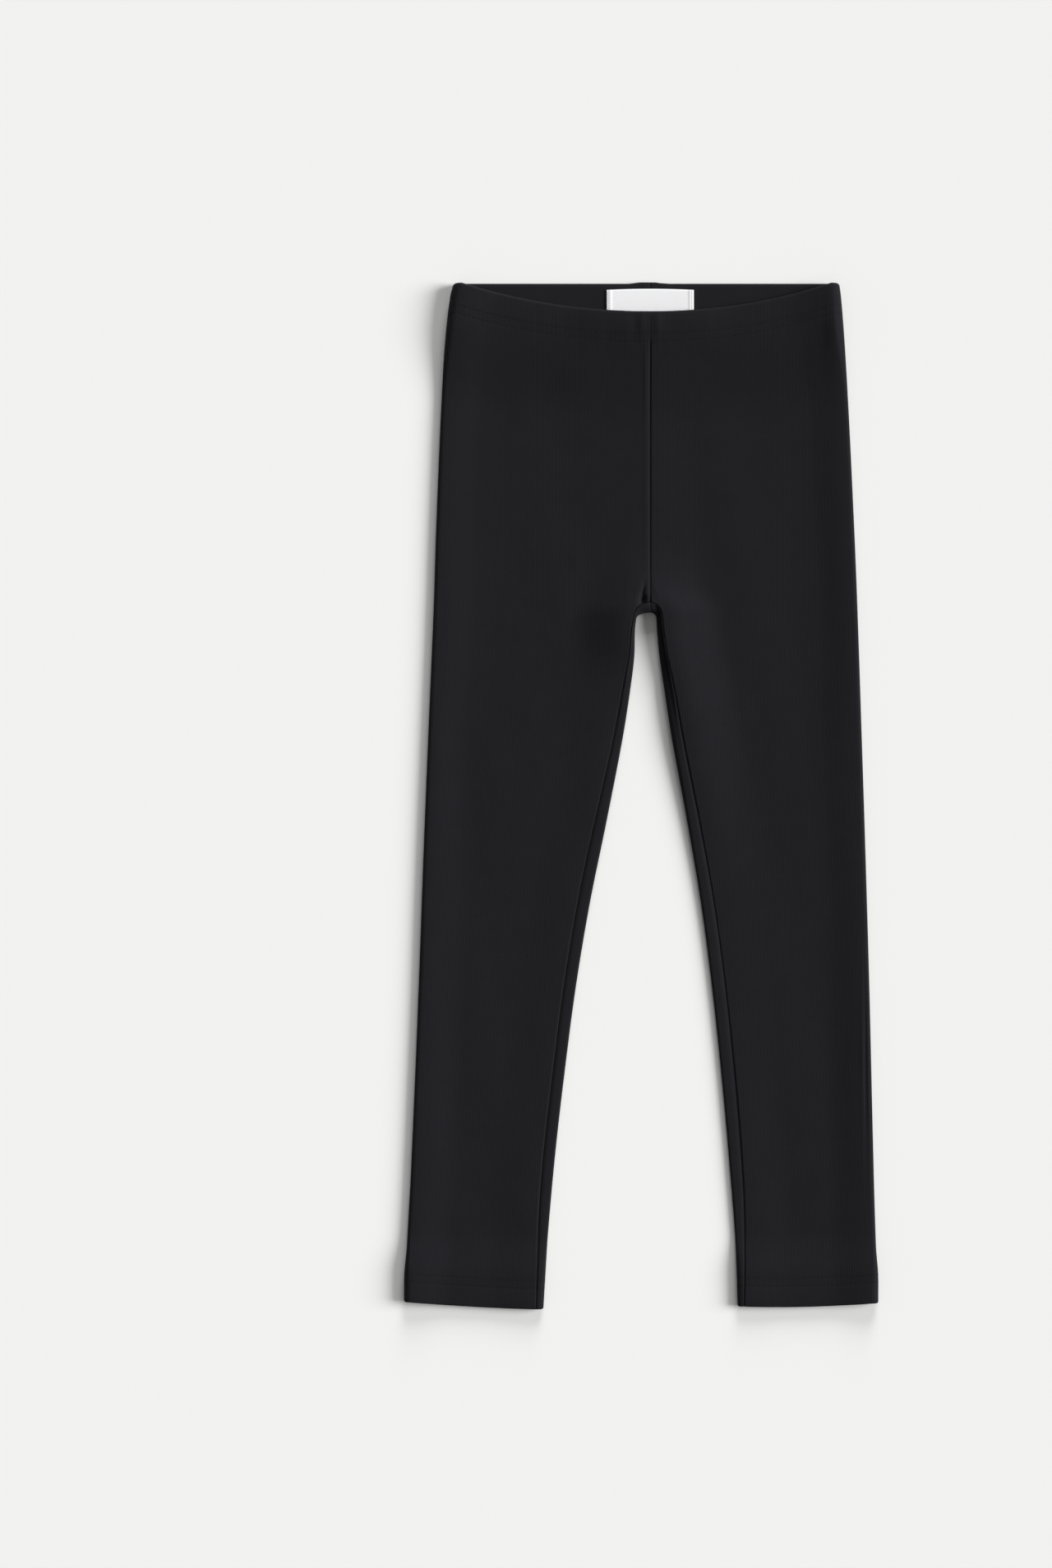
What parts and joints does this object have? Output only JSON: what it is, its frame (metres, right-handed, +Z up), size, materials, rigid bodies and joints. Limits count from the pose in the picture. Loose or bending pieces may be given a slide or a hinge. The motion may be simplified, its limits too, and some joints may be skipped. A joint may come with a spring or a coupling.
{
  "type": "leggings",
  "caption": "Child's pull-on leggings in black ribbed jersey, laid flat with the front up: elastic waist in a turned casing, long tapered legs, turned hems, plain label inside the back",
  "frame": {"origin": "bottom centre of the leggings' own box, on the surface that they lie on, midway between waist and hems", "axes": "+Z up from the surface towards the front of the leggings, +Y from the hems to the waist, +X towards the wearer's left leg"},
  "size_m": [0.2882, 0.624, 0.01],
  "materials": {
    "jersey": "matt ribbed cotton jersey",
    "elastic": "woven elastic",
    "satin": "woven satin ribbon"
  },
  "bodies": {
    "root": {"left_leg": "jersey", "right_leg": "jersey", "waist_elastic": "elastic", "back_label": "satin"}
  },
  "joints": []
}
